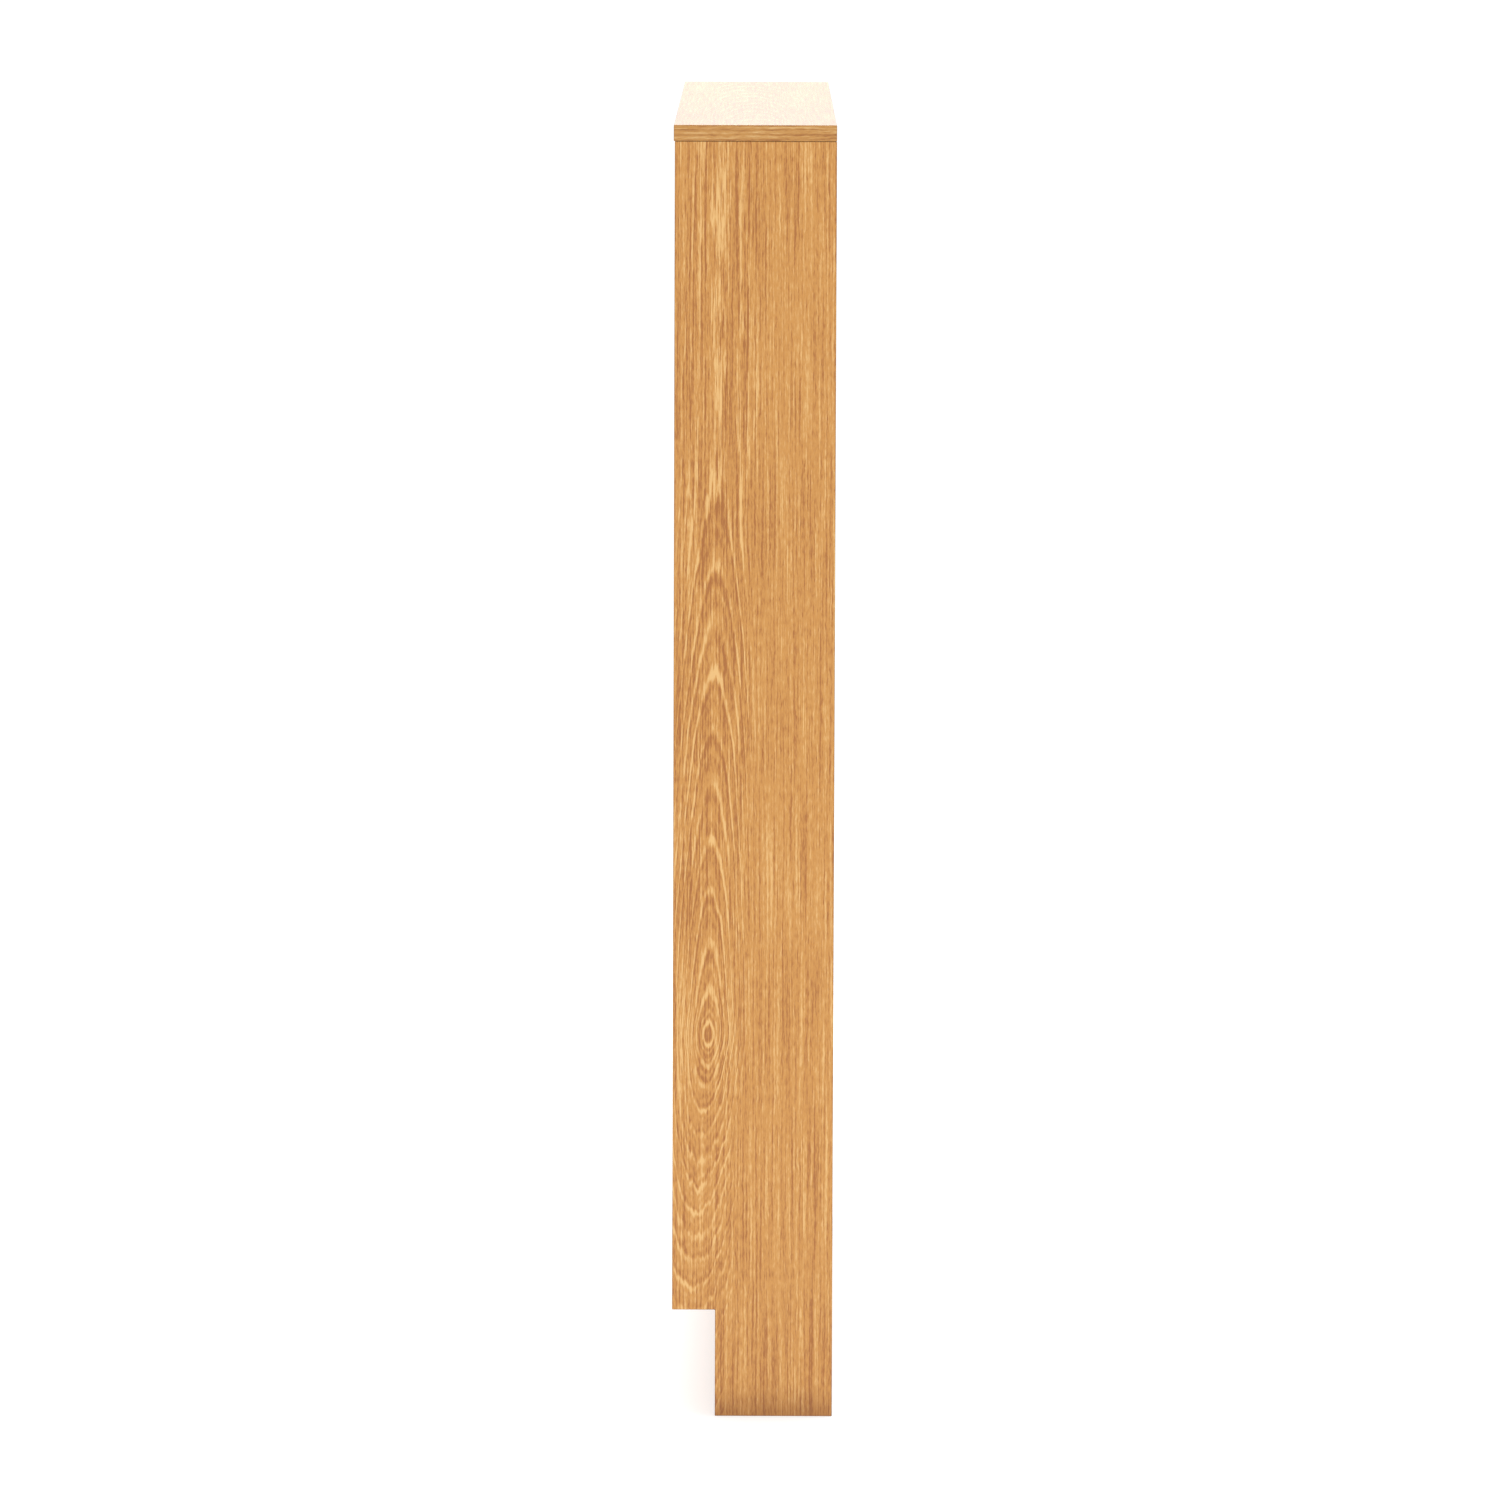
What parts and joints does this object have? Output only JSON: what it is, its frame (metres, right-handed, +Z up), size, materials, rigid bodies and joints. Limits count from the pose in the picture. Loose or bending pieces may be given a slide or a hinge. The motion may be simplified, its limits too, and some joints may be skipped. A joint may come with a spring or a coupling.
{
  "type": "pantry cabinet",
  "caption": "Slim freestanding pantry cabinet of plain boards, with sliding doors on rollers, shelves in two bays and a toe recess.",
  "frame": {"origin": "on the floor under the middle of the top board", "axes": "+Z up; the doors and the toe recess face -Y; +X is to the right of someone who stands in front of the doors and faces +Y"},
  "size_m": [1.2, 0.15, 1.2],
  "materials": {
    "oak_print_board": "satin printed oak foil on board",
    "back_hardboard": "matt printed hardboard",
    "beech": "raw turned wood",
    "tan_plastic": "satin moulded",
    "ivory_plastic": "matt extruded",
    "dark_plastic": "matt moulded",
    "wheel_nylon": "smooth nylon",
    "soft_rubber": "soft translucent",
    "pull_metal": "satin brushed",
    "plated_steel": "zinc plated",
    "cast_zinc": "die cast",
    "track_aluminium": "satin anodised"
  },
  "bodies": {
    "carcass": {"side_panel_left": "oak_print_board", "side_panel_right": "oak_print_board", "top_board": "oak_print_board", "bottom_board": "oak_print_board", "centre_partition": "oak_print_board", "kick_board": "oak_print_board", "centre_support": "oak_print_board", "fixed_shelf_left": "oak_print_board", "fixed_shelf_right": "oak_print_board", "shelf_left_low": "oak_print_board", "shelf_left_mid": "oak_print_board", "shelf_left_high": "oak_print_board", "shelf_right_low": "oak_print_board", "shelf_right_mid": "oak_print_board", "shelf_right_high": "oak_print_board", "shelf_pins": "plated_steel", "back_sheet_left": "back_hardboard", "back_sheet_right": "back_hardboard", "back_joiner": "ivory_plastic", "wall_rail_left": "oak_print_board", "wall_rail_right": "oak_print_board", "upper_track": "tan_plastic", "lower_track": "track_aluminium", "upper_track_screws": "plated_steel", "lower_track_screws": "plated_steel", "cam_locks": "cast_zinc", "cam_bolts": "plated_steel", "double_cam_bolts": "plated_steel", "cam_covers": "tan_plastic", "wood_dowels": "beech", "door_bumpers": "soft_rubber"},
    "right_door": {"right_door_panel": "oak_print_board", "right_door_pull": "pull_metal", "right_roller_housings": "dark_plastic", "right_roller_pins": "plated_steel", "right_roller_screws": "plated_steel"},
    "left_door": {"left_door_panel": "oak_print_board", "left_door_pull": "pull_metal", "left_roller_housings": "dark_plastic", "left_roller_pins": "plated_steel", "left_roller_screws": "plated_steel"},
    "right_inner_roller": {"right_door_wheel_inner": "wheel_nylon"},
    "right_outer_roller": {"right_door_wheel_outer": "wheel_nylon"},
    "left_inner_roller": {"left_door_wheel_inner": "wheel_nylon"},
    "left_outer_roller": {"left_door_wheel_outer": "wheel_nylon"}
  },
  "joints": [
    {"name": "right_door_slide", "type": "slide", "parent": "carcass", "child": "right_door", "axis": [-1, 0, 0], "range_m": [0, 0.571]},
    {"name": "left_door_slide", "type": "slide", "parent": "carcass", "child": "left_door", "axis": [1, 0, 0], "range_m": [0, 0.571]},
    {"name": "right_inner_roller_spin", "type": "hinge", "parent": "right_door", "child": "right_inner_roller", "pos_m": [0.048, -0.0625, 0.1283], "axis": [0, -1, 0], "range_deg": [0, 4090]},
    {"name": "right_outer_roller_spin", "type": "hinge", "parent": "right_door", "child": "right_outer_roller", "pos_m": [0.523, -0.0625, 0.1283], "axis": [0, -1, 0], "range_deg": [0, 4090]},
    {"name": "left_inner_roller_spin", "type": "hinge", "parent": "left_door", "child": "left_inner_roller", "pos_m": [-0.048, -0.045, 0.1283], "axis": [0, 1, 0], "range_deg": [0, 4090]},
    {"name": "left_outer_roller_spin", "type": "hinge", "parent": "left_door", "child": "left_outer_roller", "pos_m": [-0.523, -0.045, 0.1283], "axis": [0, 1, 0], "range_deg": [0, 4090]}
  ],
  "couplings": [
    {"joint": "right_inner_roller_spin", "follows": "right_door_slide", "rad_per_m": 125},
    {"joint": "right_outer_roller_spin", "follows": "right_door_slide", "rad_per_m": 125},
    {"joint": "left_inner_roller_spin", "follows": "left_door_slide", "rad_per_m": 125},
    {"joint": "left_outer_roller_spin", "follows": "left_door_slide", "rad_per_m": 125}
  ]
}
